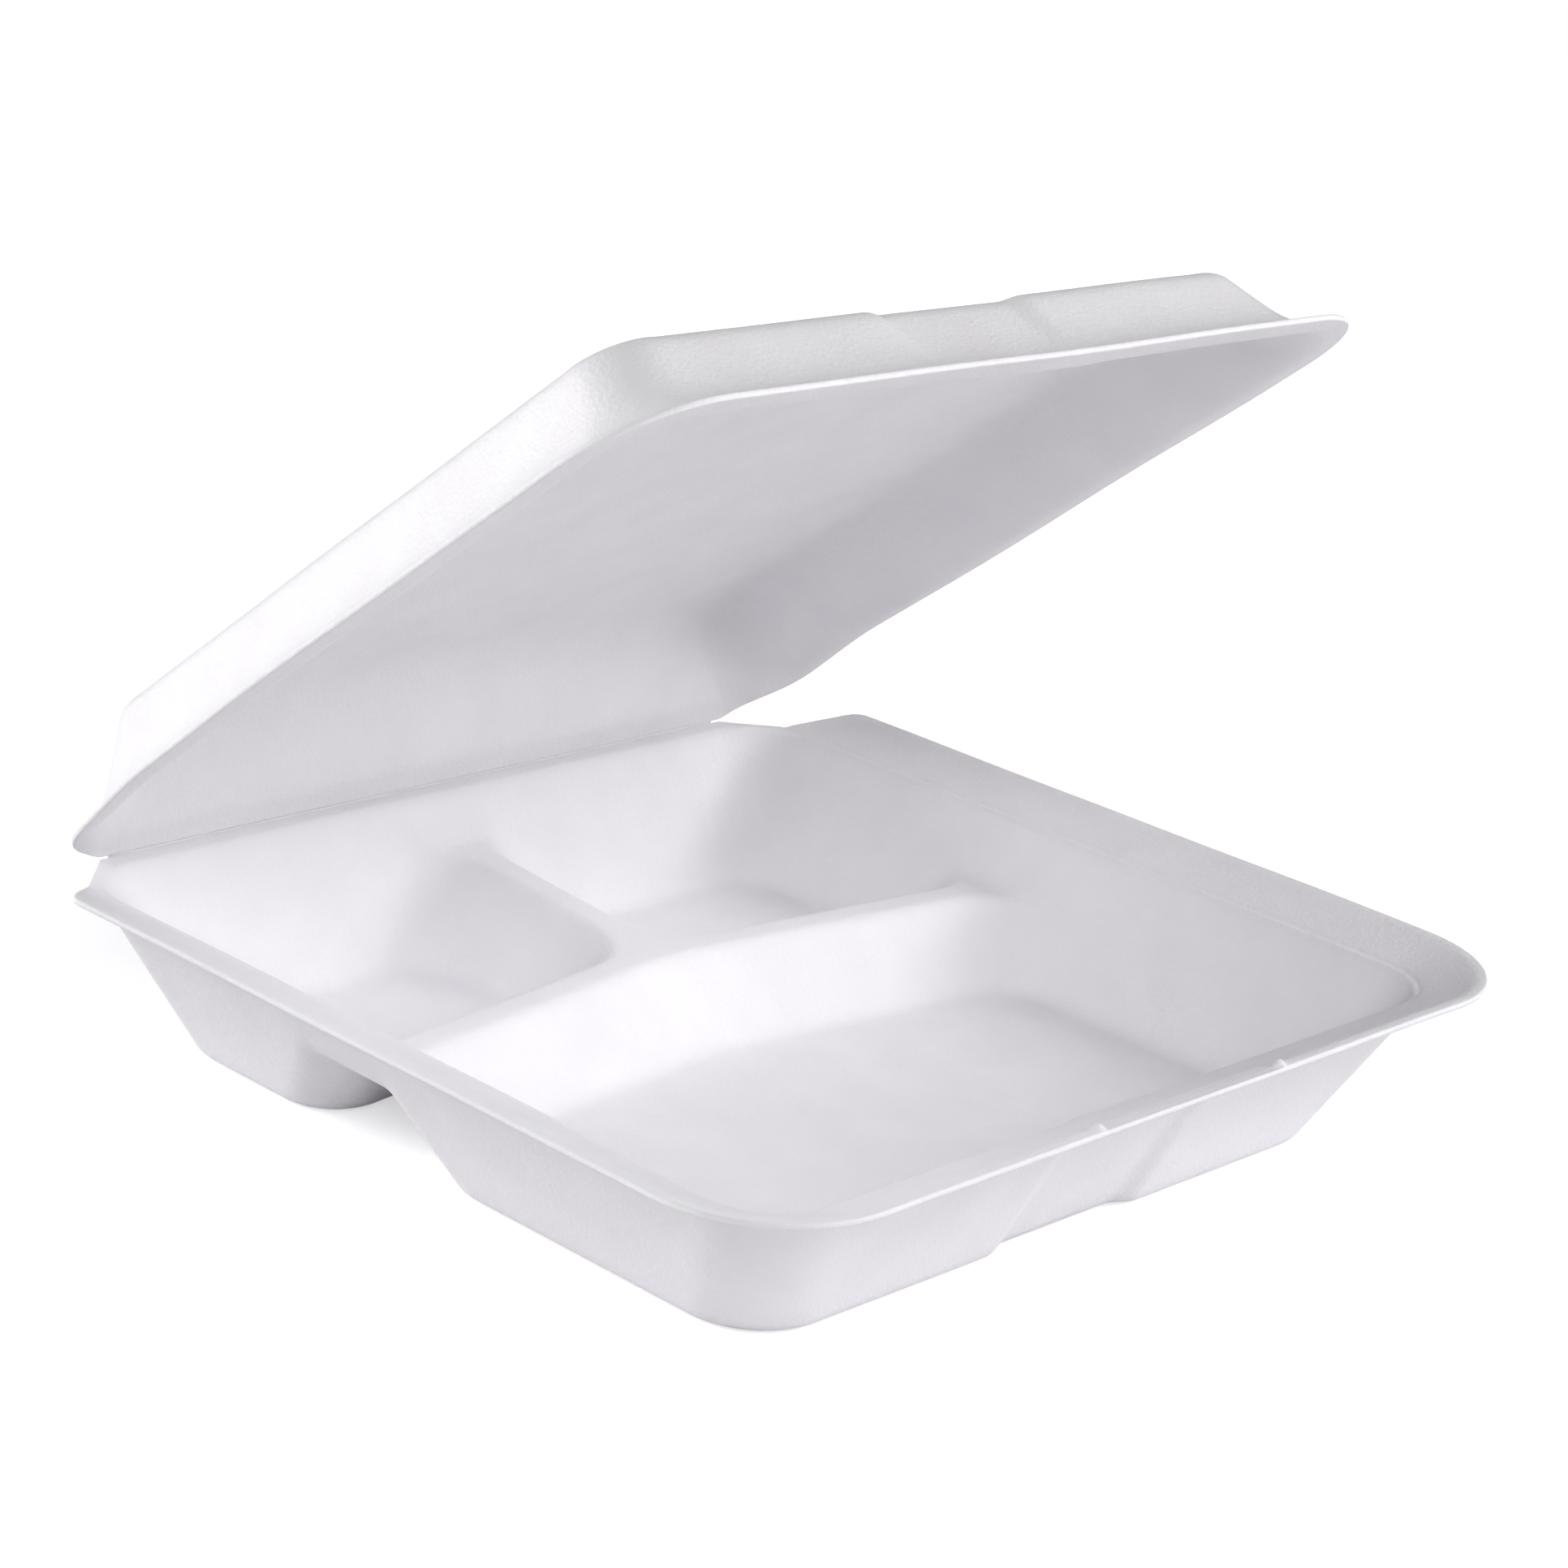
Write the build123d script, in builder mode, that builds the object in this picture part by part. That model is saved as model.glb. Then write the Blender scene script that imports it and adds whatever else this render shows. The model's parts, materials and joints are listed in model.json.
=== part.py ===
"""Three-compartment foam clamshell container, rebuilt from a photograph.

One sheet of white foam is thermoformed into a tray and a domed lid that fold together along a pressed
crease. The tray and the lid are two nodes, because the lid swings about that crease.

Frame, in millimetres: the tray stands on Z = 0, X runs along the crease from left to right, -Y is the
front with the finger recess, and the origin lies under the middle of the tray's rim. The lid is drawn
lying closed, with its hinge at the local origin, and is then tipped back by the photograph's angle.
"""
import os
from math import atan, cos, degrees, radians, sin, sqrt, tan

from build123d import *

# Foam sheet
sheet = 2.3
crease_sheet = 0.9
crease_gap = 0.3

# Tray rim, measured over the lip and from the crease to the front
rim_width = 229.0
rim_length = 216.0
rim_corner = 29.0
lip_width = 5.0
flare_run = 8.5
flare_rise = 4.5

# Tray body
tray_height = 38.0
floor_inset_side = 28.5
floor_inset_front = 27.5
floor_inset_back = 18.8
tray_corner = 17.0
wall_draft = 25.6
floor_round = 7.0

# Hinge strip, and the notches that part its ends from the ears of the rim
hinge_length = 180.0
notch_setback = 15.0
notch_round = 9.0
ear_setback = 24.0
ear_round = 3.0
crease_run = 3.0

# Dividers, whose ridges stay below the rim so that the three portions share one well
ridge_depth = 18.5
ridge_width = 8.0
ridge_round = 2.5
ridge_rise = 4.0
divider_draft = 33.0
main_ridge_back = 70.5
chevron_rise = 11.0
small_portion_corner = 14.0
large_portion_corner = 20.0

# Finger recess pushed into the tray's front wall and the lid's front wall
recess_width = 32.0
recess_ramp = 6.0
recess_depth = 2.6
recess_fade = 0.5

# Latch on the front lip: a shallow groove between two snap nubs
latch_spacing = 54.0
latch_setback = 3.0
groove_width = 3.2
groove_depth = 0.8
nub_radius = 1.6
nub_height = 0.8
nub_bevel = 0.5

# Lid
lid_width = 214.0
lid_length = 208.5
lid_corner = 24.0
lid_back_corner = 20.0
lid_rim_lift = 3.6
lid_height = 24.5
lid_foot_inset = 9.0
lid_foot_back = 7.6
lid_dome_corner = 12.0
lid_draft = 22.8
lid_edge_round = 4.0
lid_strip_run = 5.0
open_angle = 38.65

# Overrun of cutters past the faces that they cut, and reach of one body into the next
overrun = 2.0
tuck = 0.3

rim_z = tray_height
deck_z = rim_z - flare_rise
ridge_z = rim_z - ridge_depth
hinge_y = rim_length / 2
half_rim = rim_width / 2
half_hinge = hinge_length / 2
half_ridge = ridge_width / 2
shelf_z = ridge_z - ridge_round * (1 - sin(radians(divider_draft)))
half_lid = lid_width / 2
half_recess = recess_width / 2
half_latch = latch_spacing / 2
deck_inset = lip_width + flare_run
wall_slope = tan(radians(wall_draft))
divider_slope = tan(radians(divider_draft))
lid_slope = tan(radians(lid_draft))
wall_across = sheet * sqrt(1 + wall_slope**2)
divider_across = sheet * sqrt(1 + divider_slope**2)
lid_across = sheet * sqrt(1 + lid_slope**2)
inner_corner = tray_corner - wall_across

# The short ridge climbs from the middle of the main divider to the wall beside the crease
climb_start = hinge_y - main_ridge_back - half_ridge
climb_end = hinge_y - floor_inset_back - wall_across + wall_slope * ridge_z
climb = ridge_rise / (climb_end - climb_start)


def side_x(z, skin):
    """Half the well's width at a height, grown outwards by a skin."""
    return half_rim - floor_inset_side - wall_across + wall_slope * z + skin


def front_y(z, skin):
    """The front wall's place at a height."""
    return -hinge_y + floor_inset_front + wall_across - wall_slope * z - skin


def back_y(z, skin):
    """The place of the wall beside the crease."""
    return hinge_y - floor_inset_back - wall_across + wall_slope * z + skin


def chevron(x):
    """How far the main divider lies forward of its apex, beside the middle."""
    return chevron_rise * abs(x) / (half_rim - floor_inset_side)


def ridge_back_y(x, z, skin):
    """The rear face of the main divider, moved towards the divider's inside by a skin."""
    return hinge_y - main_ridge_back - chevron(x) + divider_slope * (ridge_z - z) - skin


def ridge_front_y(x, z, skin):
    """The front face of the main divider."""
    return hinge_y - main_ridge_back - ridge_width - chevron(x) - divider_slope * (ridge_z - z) + skin


def short_x(y, z, skin):
    """Half the thickness of the short divider, whose ridge climbs towards the crease."""
    return half_ridge + divider_slope * (ridge_z + climb * (y - climb_start) - z) - skin


def recessed_edge(x, y, depth):
    """The front edge of an outline from left to right, with the finger recess in its middle."""
    outer = half_recess + recess_ramp * depth / recess_depth
    return [
        (-x, y), (-outer, y), (-half_recess, y + depth),
        (half_recess, y + depth), (outer, y), (x, y),
    ]


def recess_at(z):
    """The depth of the tray's finger recess, which fades from the floor up to the deck."""
    return recess_depth - (recess_depth - recess_fade) * z / deck_z


def well_corners(z, skin):
    """Corners of the whole well at a height."""
    x = side_x(z, skin)
    front = recessed_edge(x, front_y(z, skin), recess_at(z))
    return front + [(x, back_y(z, skin)), (-x, back_y(z, skin))]


def large_corners(z, skin, divider_skin):
    """Corners of the large front portion, whose rear wall is a shallow chevron."""
    x = side_x(z, skin)
    rear = ridge_front_y(x, z, divider_skin)
    apex = ridge_front_y(0, z, divider_skin)
    return recessed_edge(x, front_y(z, skin), recess_at(z)) + [(x, rear), (0, apex), (-x, rear)]


def small_corners(z, skin, divider_skin, hand):
    """Corners of a small portion beside the crease: hand is -1 on the left and 1 on the right."""
    outer = side_x(z, skin)
    back = back_y(z, skin)
    inner_back = short_x(back, z, divider_skin + tuck)
    inner_front = short_x(ridge_back_y(inner_back, z, divider_skin), z, divider_skin + tuck)
    points = [
        (inner_front, ridge_back_y(inner_front, z, divider_skin)),
        (outer, ridge_back_y(outer, z, divider_skin)),
        (outer, back),
        (inner_back, back),
    ]
    return [(hand * x, y) for x, y in points]


def rim_corners(inset, reach):
    """Corners of the rim drawn in by an inset, running on past the crease by a reach."""
    x = half_rim - inset
    front = -hinge_y + inset
    back = hinge_y + reach
    return [(-x, front), (x, front), (x, back), (-x, back)]


def lid_corners(w, skin):
    """Corners of the lid's dome at a height over the crease, grown outwards by a skin."""
    lean = lid_slope * (w - lid_rim_lift) - skin
    x = half_lid - lid_foot_inset - lean
    back = -lid_foot_back - lean
    share = (w - lid_rim_lift) / (lid_height - lid_rim_lift)
    depth = recess_fade + (recess_depth - recess_fade) * share
    front = recessed_edge(x, -lid_length + lid_foot_inset + lean, depth)
    return front + [(x, back), (-x, back)]


def recessed_radii(front_corner, rest):
    """Corner radii for an outline that starts with a recessed front edge."""
    return [front_corner, 0, 0, 0, 0, front_corner] + rest


def rounded_face(plane, corners, radii):
    """A closed outline on a plane, with each corner rounded to its own radius."""
    with BuildSketch(plane, mode=Mode.PRIVATE) as outline:
        with BuildLine():
            FilletPolyline(*corners, radius=radii, close=True)
        make_face()
    return outline.sketch


def raised(face, height):
    """A solid standing straight up from an outline."""
    with BuildPart(mode=Mode.PRIVATE) as body:
        extrude(to_extrude=face, amount=height)
    return body.part


def flared(face, height, run):
    """A solid that widens by a run on every side while it rises."""
    with BuildPart(mode=Mode.PRIVATE) as body:
        extrude(to_extrude=face, amount=height, taper=-degrees(atan(run / height)))
    return body.part


def prism(points, half_length):
    """A solid with a constant section in the YZ plane, running both ways along X."""
    with BuildSketch(Plane.YZ, mode=Mode.PRIVATE) as section:
        with BuildLine():
            Polyline(*points, close=True)
        make_face()
    with BuildPart(mode=Mode.PRIVATE) as body:
        extrude(to_extrude=section.sketch, amount=half_length, both=True)
    return body.part


def flat_sided(first, last):
    """A solid between two like polygons in space, with a flat face for each pair of edges."""
    faces = [Face(Wire.make_polygon(first, close=True)), Face(Wire.make_polygon(last, close=True))]
    for index in range(len(first)):
        after = (index + 1) % len(first)
        corners = [first[index], first[after], last[after], last[index]]
        faces.append(Face(Wire.make_polygon(corners, close=True)))
    return Solid(Shell(faces))


def drafted(low, high, corners, radii, bottom_round=0, top_round=0):
    """A block with drafted walls between two heights: upright edges, then the bottom or top edge, are rounded."""
    first = [(x, y, low) for x, y in corners(low)]
    last = [(x, y, high) for x, y in corners(high)]
    with BuildPart(mode=Mode.PRIVATE) as body:
        add(flat_sided(first, last))
        for start, end, radius in zip(first, last, radii):
            if radius:
                middle = (Vector(*start) + Vector(*end)) / 2
                fillet(body.edges().sort_by_distance(middle)[0], radius=radius)
        if bottom_round:
            fillet(body.edges().group_by(Axis.Z)[0], radius=bottom_round)
        if top_round:
            fillet(body.edges().group_by(Axis.Z)[-1], radius=top_round)
    return body.part


def portions(low, high, skin, divider_skin, small_corner, large_corner, wall_corner, bottom_round):
    """The large portion and the two small ones, as blocks with a rounded bottom edge."""
    blocks = [drafted(
        low, high, lambda z: large_corners(z, skin, divider_skin),
        recessed_radii(wall_corner, [large_corner] * 3), bottom_round,
    )]
    for hand in (-1, 1):
        blocks.append(drafted(
            low, high, lambda z: small_corners(z, skin, divider_skin, hand),
            [small_corner, small_corner, wall_corner, small_corner], bottom_round,
        ))
    return blocks


def short_ridge(drop, skin):
    """The short divider as a block, lowered by a drop and thinned by a skin."""
    ends = []
    for y in (climb_start, hinge_y):
        top = ridge_z + climb * (y - climb_start) - drop
        low_x, top_x = short_x(y, 0, skin), short_x(y, top, skin)
        ends.append([(-low_x, y, 0), (low_x, y, 0), (top_x, y, top), (-top_x, y, top)])
    return flat_sided(*ends)


def main_ridge(hand):
    """Half of the main divider as a block, from its apex out through the side wall."""
    ends = []
    for x in (0, hand * half_rim):
        front, back = ridge_front_y(x, 0, 0), ridge_back_y(x, 0, 0)
        top_front, top_back = ridge_front_y(x, ridge_z, 0), ridge_back_y(x, ridge_z, 0)
        ends.append([(x, front, 0), (x, back, 0), (x, top_back, ridge_z), (x, top_front, ridge_z)])
    return flat_sided(*ends)


# Outer skin of the tray, below the rim
feet = portions(
    0, ridge_z - sheet, wall_across, divider_across,
    small_portion_corner + sheet, large_portion_corner + sheet, tray_corner, floor_round + sheet,
)
upper_body = drafted(
    ridge_z - sheet, deck_z - sheet / 2, lambda z: well_corners(z, wall_across),
    recessed_radii(tray_corner, [tray_corner] * 2),
)

# Rim: a deck level with the crease, a flare that slopes up from it, and the flat lip
deck_outline = rim_corners(deck_inset, overrun)
deck_radii = [rim_corner - deck_inset] * 2 + [0, 0]
deck = raised(rounded_face(Plane.XY.offset(deck_z - sheet), deck_outline, deck_radii), sheet)
flare = flared(
    rounded_face(Plane.XY.offset(deck_z - sheet), deck_outline, deck_radii), flare_rise, flare_run
)
lip = raised(
    rounded_face(Plane.XY.offset(rim_z - sheet), rim_corners(0, overrun), [rim_corner] * 2 + [0, 0]), sheet
)
trim_points = [
    (-half_rim, -hinge_y),
    (half_rim, -hinge_y),
    (half_rim, hinge_y - ear_setback),
    (half_rim - deck_inset, hinge_y - notch_setback),
    (half_hinge, hinge_y - crease_gap),
    (-half_hinge, hinge_y - crease_gap),
    (-half_rim + deck_inset, hinge_y - notch_setback),
    (-half_rim, hinge_y - ear_setback),
]
trim_radii = [rim_corner, rim_corner, ear_round, notch_round, 0, 0, notch_round, ear_round]
trim = raised(rounded_face(Plane.XY, trim_points, trim_radii), rim_z)
crease_relief = prism(
    [
        (hinge_y - crease_gap - crease_run, deck_z - sheet),
        (hinge_y - crease_gap, deck_z - crease_sheet),
        (hinge_y, deck_z - crease_sheet),
        (hinge_y, deck_z - sheet - overrun),
        (hinge_y - crease_gap - crease_run, deck_z - sheet - overrun),
    ],
    half_rim,
)

# Space inside the tray, and the two ridges that stand in it
rooms = portions(
    sheet, shelf_z, 0, tuck,
    small_portion_corner, large_portion_corner, inner_corner, floor_round,
)
well = drafted(
    shelf_z, deck_z, lambda z: well_corners(z, 0), recessed_radii(inner_corner, [inner_corner] * 2)
)
with BuildPart(mode=Mode.PRIVATE) as long_crest:
    add([main_ridge(-1), main_ridge(1)])
    fillet(long_crest.edges().group_by(Axis.Z)[-1].filter_by(Axis.Y, reverse=True), radius=ridge_round)
with BuildPart(mode=Mode.PRIVATE) as short_crest:
    add(short_ridge(0, 0))
    fillet(short_crest.faces().sort_by(Axis.Z)[-1].edges().filter_by(Axis.X, reverse=True), radius=ridge_round)
with BuildPart(mode=Mode.PRIVATE) as tray_space:
    add([well] + rooms)
    add([long_crest.part, short_crest.part], mode=Mode.SUBTRACT)
flare_space = flared(rounded_face(Plane.XY.offset(deck_z), deck_outline, deck_radii), flare_rise, flare_run)
above = raised(
    rounded_face(Plane.XY.offset(rim_z), rim_corners(lip_width, overrun), [rim_corner - lip_width] * 2 + [0, 0]),
    overrun,
)

# Latch on the front lip
latch_y = -hinge_y + latch_setback
with BuildPart(mode=Mode.PRIVATE) as latch_groove:
    with BuildSketch(Plane.XY.offset(rim_z - groove_depth)):
        with Locations((0, latch_y)):
            SlotCenterToCenter(latch_spacing, groove_width)
    extrude(amount=groove_depth + overrun)
with BuildPart(mode=Mode.PRIVATE) as latch_nubs:
    with BuildSketch(Plane.XY.offset(rim_z - groove_depth - tuck)):
        with Locations((-half_latch, latch_y), (half_latch, latch_y)):
            Circle(nub_radius)
    extrude(amount=tuck + groove_depth + nub_height)
    chamfer(latch_nubs.edges().group_by(Axis.Z)[-1], length=nub_bevel)

with BuildPart() as tray:
    add([deck, flare, lip])
    add(trim, mode=Mode.INTERSECT)
    add(crease_relief, mode=Mode.SUBTRACT)
    add([upper_body] + feet)
    add(short_ridge(sheet, divider_across), mode=Mode.SUBTRACT)
    add(tray_space.part, mode=Mode.SUBTRACT)
    add([flare_space, above], mode=Mode.SUBTRACT)
    add(latch_groove.part, mode=Mode.SUBTRACT)
    add(latch_nubs.part)
print("tray", len(tray.part.solids()), round(tray.part.volume), tray.part.bounding_box())

# Lid, drawn closed with the crease along X through the local origin
flange_outline = [
    (-half_lid, -lid_length), (half_lid, -lid_length), (half_lid, -crease_gap), (-half_lid, -crease_gap),
]
flange_radii = [lid_corner, lid_corner, lid_back_corner, lid_back_corner]
flange_top = lid_rim_lift + sheet
flange_section = prism(
    [
        (-crease_gap, crease_gap),
        (-lid_strip_run, lid_rim_lift),
        (-lid_length, lid_rim_lift),
        (-lid_length, flange_top),
        (-lid_strip_run, flange_top),
        (-crease_gap, crease_gap + crease_sheet),
    ],
    half_lid,
)
dome = drafted(
    lid_rim_lift, lid_height, lambda w: lid_corners(w, 0),
    recessed_radii(lid_dome_corner, [lid_dome_corner] * 2), top_round=lid_edge_round,
)
lid_space = drafted(
    lid_rim_lift - overrun, lid_height - sheet, lambda w: lid_corners(w, -lid_across),
    recessed_radii(lid_dome_corner - lid_across, [lid_dome_corner - lid_across] * 2),
    top_round=lid_edge_round - sheet,
)
with BuildPart(mode=Mode.PRIVATE) as closed_lid:
    add(raised(rounded_face(Plane.XY, flange_outline, flange_radii), flange_top))
    add(flange_section, mode=Mode.INTERSECT)
    add(dome)
    add(lid_space, mode=Mode.SUBTRACT)

tip = radians(open_angle)
lid_plane = Plane(origin=(0, hinge_y, deck_z), x_dir=(1, 0, 0), z_dir=(0, sin(tip), cos(tip)))
with BuildPart() as lid:
    add(lid_plane.location * closed_lid.part)
print("lid", len(lid.part.solids()), round(lid.part.volume), lid.part.bounding_box())

tray.part.label = "tray"
lid.part.label = "lid"
os.makedirs("parts", exist_ok=True)
export_step(tray.part, "parts/tray.step")
export_step(lid.part, "parts/lid.step")
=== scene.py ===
# %% [markdown]
# # A foam clamshell container
#
# The real object is one sheet of white expanded foam, about 2 mm thick. It is heated, pressed between two
# moulds and cut out along its edge. One half becomes a tray with three portions, the other a domed lid, and a
# line pressed thin between them is the hinge. This lesson makes its looks: smooth, softly rounded sheets in
# place of the plain construction solids, a foam finish, and a plain studio around them.

# %% Load the construction model
import json
from math import cos, pi, radians, sin, sqrt, tan

import bpy
import numpy as np
from mathutils import Matrix, Vector


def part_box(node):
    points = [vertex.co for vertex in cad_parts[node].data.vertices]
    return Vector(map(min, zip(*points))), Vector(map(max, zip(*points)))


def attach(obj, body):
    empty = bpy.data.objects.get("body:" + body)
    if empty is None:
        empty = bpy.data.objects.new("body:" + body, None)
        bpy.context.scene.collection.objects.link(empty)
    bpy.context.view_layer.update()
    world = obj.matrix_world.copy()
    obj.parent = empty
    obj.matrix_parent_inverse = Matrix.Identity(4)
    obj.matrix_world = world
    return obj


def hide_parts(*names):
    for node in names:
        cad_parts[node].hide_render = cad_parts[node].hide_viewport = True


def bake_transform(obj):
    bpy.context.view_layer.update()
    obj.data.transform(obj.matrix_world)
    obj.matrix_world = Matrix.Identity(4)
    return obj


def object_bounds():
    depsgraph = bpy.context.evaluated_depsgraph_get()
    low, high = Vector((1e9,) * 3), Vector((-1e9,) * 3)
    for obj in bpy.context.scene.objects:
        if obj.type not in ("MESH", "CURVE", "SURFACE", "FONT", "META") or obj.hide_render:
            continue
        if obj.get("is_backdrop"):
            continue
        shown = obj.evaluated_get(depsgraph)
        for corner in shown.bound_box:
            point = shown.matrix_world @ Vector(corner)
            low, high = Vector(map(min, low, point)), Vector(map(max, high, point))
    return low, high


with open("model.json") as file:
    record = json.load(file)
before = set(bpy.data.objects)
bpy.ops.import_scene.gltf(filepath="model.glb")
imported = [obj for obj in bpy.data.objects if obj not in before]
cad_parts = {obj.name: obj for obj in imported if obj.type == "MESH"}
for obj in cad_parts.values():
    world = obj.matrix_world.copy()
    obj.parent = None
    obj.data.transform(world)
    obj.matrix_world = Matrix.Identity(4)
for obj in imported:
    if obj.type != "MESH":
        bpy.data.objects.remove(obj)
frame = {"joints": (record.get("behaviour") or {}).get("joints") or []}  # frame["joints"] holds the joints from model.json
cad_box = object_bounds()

# %% [markdown]
# ## Sizes that come from the construction model
#
# The looks have to sit where the solids do. So the rim's half width, the place of the hinge line and the
# angle at which the lid stands open are read from the model, and the rest of the script works in millimetres
# from them. A millimetre is turned into a metre only where a mesh is written.

# %% Read the main sizes
mm = 0.001
tray_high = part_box("tray")[1]
crease = frame["joints"][0]
half_rim = tray_high.x / mm
hinge_y = crease["pos_m"][1] / mm
deck_z = crease["pos_m"][2] / mm
open_angle = radians(-crease["range_deg"][0])
sheet = 2.3
print("half rim", round(half_rim, 2), "hinge", hinge_y, deck_z, "open", round(open_angle, 4))

# %% [markdown]
# ## A pressed sheet is a height for every place in the plan
#
# A mould opens straight up, so no part of the sheet hangs over another. That makes the whole form one height
# for each place (x, y), and a form like this could be sculpted, subdivided from a coarse cage, or worked out
# by a formula. The formula is chosen here, because the flat walls stay flat, the rounds keep their true
# radius, and the same few helpers serve the tray and the lid.
#
# Each helper takes surfaces, which are functions of x and y, and gives a new surface. `higher` fills the
# valley where two surfaces cross, and `lower` rounds the crest. The rounding follows how steeply the two
# part from each other, so where they run together nothing is added.

# %% Helpers that join surfaces
# The step over which a slope is measured, and a guard against dividing by nothing.
nudge = 0.01
tiny = 1e-9


def eased(share):
    """A smooth step from 0 to 1."""
    share = np.clip(share, 0, 1)
    return share * share * (3 - 2 * share)


def slopes(surface, x, y):
    """A surface's height, and how it rises along x and along y."""
    here = surface(x, y)
    return here, (surface(x + nudge, y) - here) / nudge, (surface(x, y + nudge) - here) / nudge


def higher(first, second, reach):
    """The higher of two surfaces, with the valley between them filled over a reach in plan."""
    def surface(x, y):
        a, ax, ay = slopes(first, x, y)
        b, bx, by = slopes(second, x, y)
        span = reach * np.hypot(ax - bx, ay - by) + tiny
        fill = np.maximum(span - np.abs(a - b), 0) ** 2 / (4 * span)
        return np.maximum(a, b) + fill
    return surface


def upside_down(first):
    """A surface mirrored in height."""
    def surface(x, y):
        return -first(x, y)
    return surface


def lower(first, second, reach):
    """The lower of two surfaces, with the crest between them rounded off over a reach in plan."""
    return upside_down(higher(upside_down(first), upside_down(second), reach))


def level(height):
    """A flat surface."""
    def surface(x, y):
        return np.full_like(x, height)
    return surface


# %% [markdown]
# ## Drafted walls, their corners and the floor round
#
# A wall is a sloping plane, given by how far it runs out for each millimetre it rises. Where two walls meet,
# the corner has the same radius in plan at every height. That can be written exactly: on a level the two
# walls are two lines, and the rounded corner is the circle that touches both. The floor round is an arc in
# the section across the wall, so it is worked out from how steep the wall is at that place.

# %% Helpers for walls and floors


def cornered(first, second, first_run, second_run, radius):
    """The higher of two walls that cross, with their corner rounded to a constant radius in plan."""
    square = first_run**2 + second_run**2

    def surface(x, y):
        a, b = first(x, y), second(x, y)
        a_side, b_side = first_run * a + radius, second_run * b + radius
        middle = a_side * first_run + b_side * second_run
        inner = middle**2 - square * (a_side**2 + b_side**2 - radius**2)
        height = (middle - np.sqrt(np.maximum(inner, 0))) / square
        on_corner = (inner > 0) & (a_side > first_run * height) & (b_side > second_run * height)
        return np.where(on_corner, height, np.maximum(a, b))
    return surface


def floored(walls, floor, radius):
    """A floor at one level, joined to the walls around it by an arc."""
    def surface(x, y):
        height, along_x, along_y = slopes(walls, x, y)
        steep = np.hypot(along_x, along_y) + tiny
        lean = np.arctan(steep)
        tangent = radius * np.tan(lean / 2)
        past = (height - floor) / steep
        arc = floor + radius - np.sqrt(np.maximum(radius**2 - (past + tangent) ** 2, 0))
        on_arc = (past > -tangent) & (past < tangent * np.cos(lean))
        return np.where(on_arc, arc, np.maximum(height, floor))
    return surface


def lowest(*surfaces):
    """The lowest of several surfaces."""
    def surface(x, y):
        return np.minimum.reduce([each(x, y) for each in surfaces])
    return surface


# %% [markdown]
# ## The tray's two faces
#
# The tray is one large portion in front and two small ones beside the hinge, parted by a main divider that
# bends back slightly in the middle and a short one that climbs towards the hinge. Both dividers stay below
# the rim. Around the well the sheet turns out into a sloped flare, which ends in a narrow flat lip.
#
# The upper face and the underside are made by the same function. The underside has the sheet's thickness as
# its skin: every wall is moved out and every level down, so the sheet is as thick on a steep wall as on the
# flat floor.

# %% The tray's sizes
rim_z, rim_corner = 38.0, 29.0
lip_width = 2.2
flare_run = 11.3
flare_rise = rim_z - deck_z
deck_inset = lip_width + flare_run

wall_run = tan(radians(25.6))
ridge_run = tan(radians(33.0))
floor_inset_side, floor_inset_front, floor_inset_back = 28.5, 27.5, 18.8
wall_skin = sheet * sqrt(1 + wall_run**2)
face_run = tan(radians(37.0))
ridge_skin = sheet * sqrt(1 + ridge_run**2)
face_skin = sheet * sqrt(1 + face_run**2)
foot_x = half_rim - floor_inset_side - wall_skin
foot_front = -hinge_y + floor_inset_front + wall_skin
foot_back = hinge_y - floor_inset_back - wall_skin

ridge_z = 19.5
half_ridge = 4.0
main_ridge_back = hinge_y - 70.5
climb_start = main_ridge_back - half_ridge
climb_end = foot_back + wall_run * ridge_z
climb_height = 4.0
climb = climb_height / (climb_end - climb_start)
chevron_rise = 11.0
chevron_soft = 5.0

recess_half, recess_ramp = 16.0, 6.0
recess_low, recess_high = 2.6, 0.5
wall_corner, large_corner, small_corner = 14.45, 13.0, 12.0
floor_round, under_round = 5.5, 3.0
lip_round, flare_round, ridge_round, crest_round = 0.9, 0.7, 1.8, 1.0
under_lip_round, under_flare_round, under_ridge_round, under_crest_round = 1.2, 1.0, 1.2, 3.0
print("well foot", round(foot_x, 2), round(foot_front, 2), round(foot_back, 2), "climb", round(climb, 4))

# %% [markdown]
# At each place the well has the height of the portion that lies lowest there, and the ridges cap it. The
# flare is worked out from how far a place lies inside the rim's outline, so it turns the corners by itself.
# Across the finger recess the front wall stands further in, by more at its foot than at its top. Well and
# flare are joined last, and the crest between them is sharper on the upper face than on the underside, as it
# is on pressed foam.

# %% The tray's faces


def chevron(x):
    """How far the main divider lies forward of its apex, with the apex rounded."""
    half_floor = half_rim - floor_inset_side
    return chevron_rise * (np.sqrt(x**2 + chevron_soft**2) - chevron_soft) / half_floor


def recessed(x):
    """1 across the finger recess, falling to 0 over its ramps."""
    return eased((recess_half + recess_ramp - np.abs(x)) / recess_ramp)


def rim_inset(x, y):
    """How far a place lies inside the rim's outline, which runs on past the hinge."""
    dx = np.abs(x) - half_rim + rim_corner
    dy = -hinge_y - y + rim_corner
    beyond = np.hypot(np.maximum(dx, 0), np.maximum(dy, 0))
    return rim_corner - beyond - np.minimum(np.maximum(dx, dy), 0)


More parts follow.
